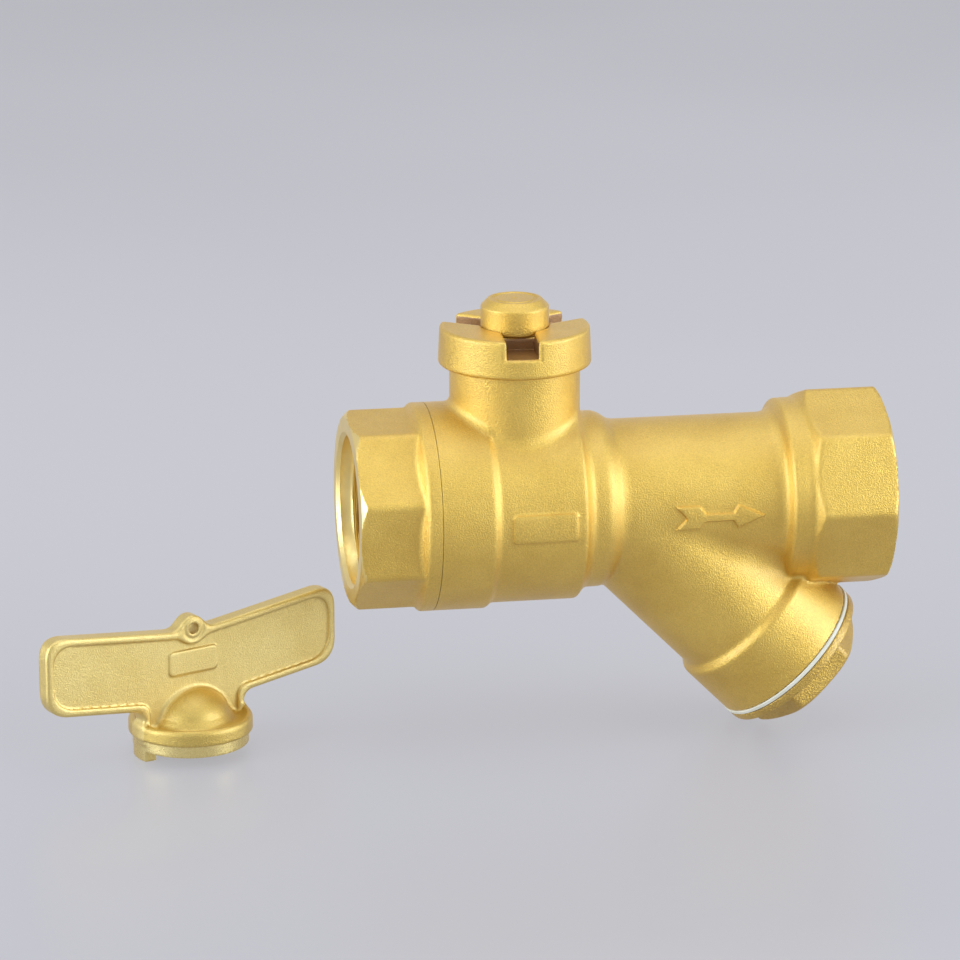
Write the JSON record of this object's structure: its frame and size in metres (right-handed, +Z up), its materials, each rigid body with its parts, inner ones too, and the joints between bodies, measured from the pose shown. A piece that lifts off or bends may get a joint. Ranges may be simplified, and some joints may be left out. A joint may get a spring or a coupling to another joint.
{
  "type": "y strainer ball valve",
  "caption": "Brass quarter-turn ball valve with a Y strainer in the same body, female threaded ends, a slotted lock cap and a loose wing key.",
  "frame": {"origin": "centre of the inlet face, on the pipe axis", "axes": "+X along the pipe in the flow direction, +Z up along the stem"},
  "size_m": [0.1846, 0.045, 0.0985],
  "materials": {
    "forged_brass": "sand-blasted forging, fine matt grain",
    "plug_brass": "coarser blasted forging",
    "key_brass": "pale blasted casting",
    "turned_brass": "bright turned",
    "chrome": "polished plating",
    "steel": "satin stainless",
    "magnet": "nickel-plated magnet",
    "ptfe": "smooth PTFE",
    "gasket": "off-white flat gasket",
    "rubber": "matt NBR"
  },
  "bodies": {
    "valve": {"valve_body": "forged_brass", "inlet_connector": "forged_brass", "connector_o_ring": "rubber", "inlet_seat": "ptfe", "outlet_seat": "ptfe", "thrust_washer": "ptfe", "packing_ring": "ptfe", "gland_nut": "turned_brass"},
    "stem_and_cap": {"ball": "chrome", "stem": "turned_brass", "stem_o_ring_lower": "rubber", "stem_o_ring_upper": "rubber", "lock_cap": "forged_brass", "lock_knob": "forged_brass", "cap_screw": "steel", "lock_spring": "steel"},
    "pin": {"lock_pin": "steel"},
    "strainer": {"plug_gasket": "gasket", "strainer_screen": "steel", "screen_top_ring": "steel", "screen_end_ring": "steel"},
    "plug": {"strainer_plug": "plug_brass"},
    "key": {"key_body": "key_brass", "key_magnet": "magnet", "magnet_cover": "steel"}
  },
  "joints": [
    {"name": "stem_turn", "type": "hinge", "parent": "valve", "child": "stem_and_cap", "pos_m": [0.0365, 0, 0], "axis": [0, 0, 1], "range_deg": [-90, 0]},
    {"name": "pin_slide", "type": "slide", "parent": "stem_and_cap", "child": "pin", "axis": [0, 0, 1], "range_m": [-0.0018, 0], "stiffness_N_per_m": 50, "springref_m": -0.004, "deforming": ["lock_spring"]},
    {"name": "strainer_pull", "type": "slide", "parent": "valve", "child": "strainer", "axis": [0.7071, 0, -0.7071], "range_m": [0, 0.055]},
    {"name": "plug_turn", "type": "hinge", "parent": "strainer", "child": "plug", "pos_m": [0.0992, 0, -0.0389], "axis": [0.7071, 0, -0.7071], "range_deg": [0, 1800]},
    {"name": "key_lift", "type": "slide", "parent": "valve", "child": "key", "axis": [0, 0, 1], "range_m": [0, 0.06]}
  ]
}
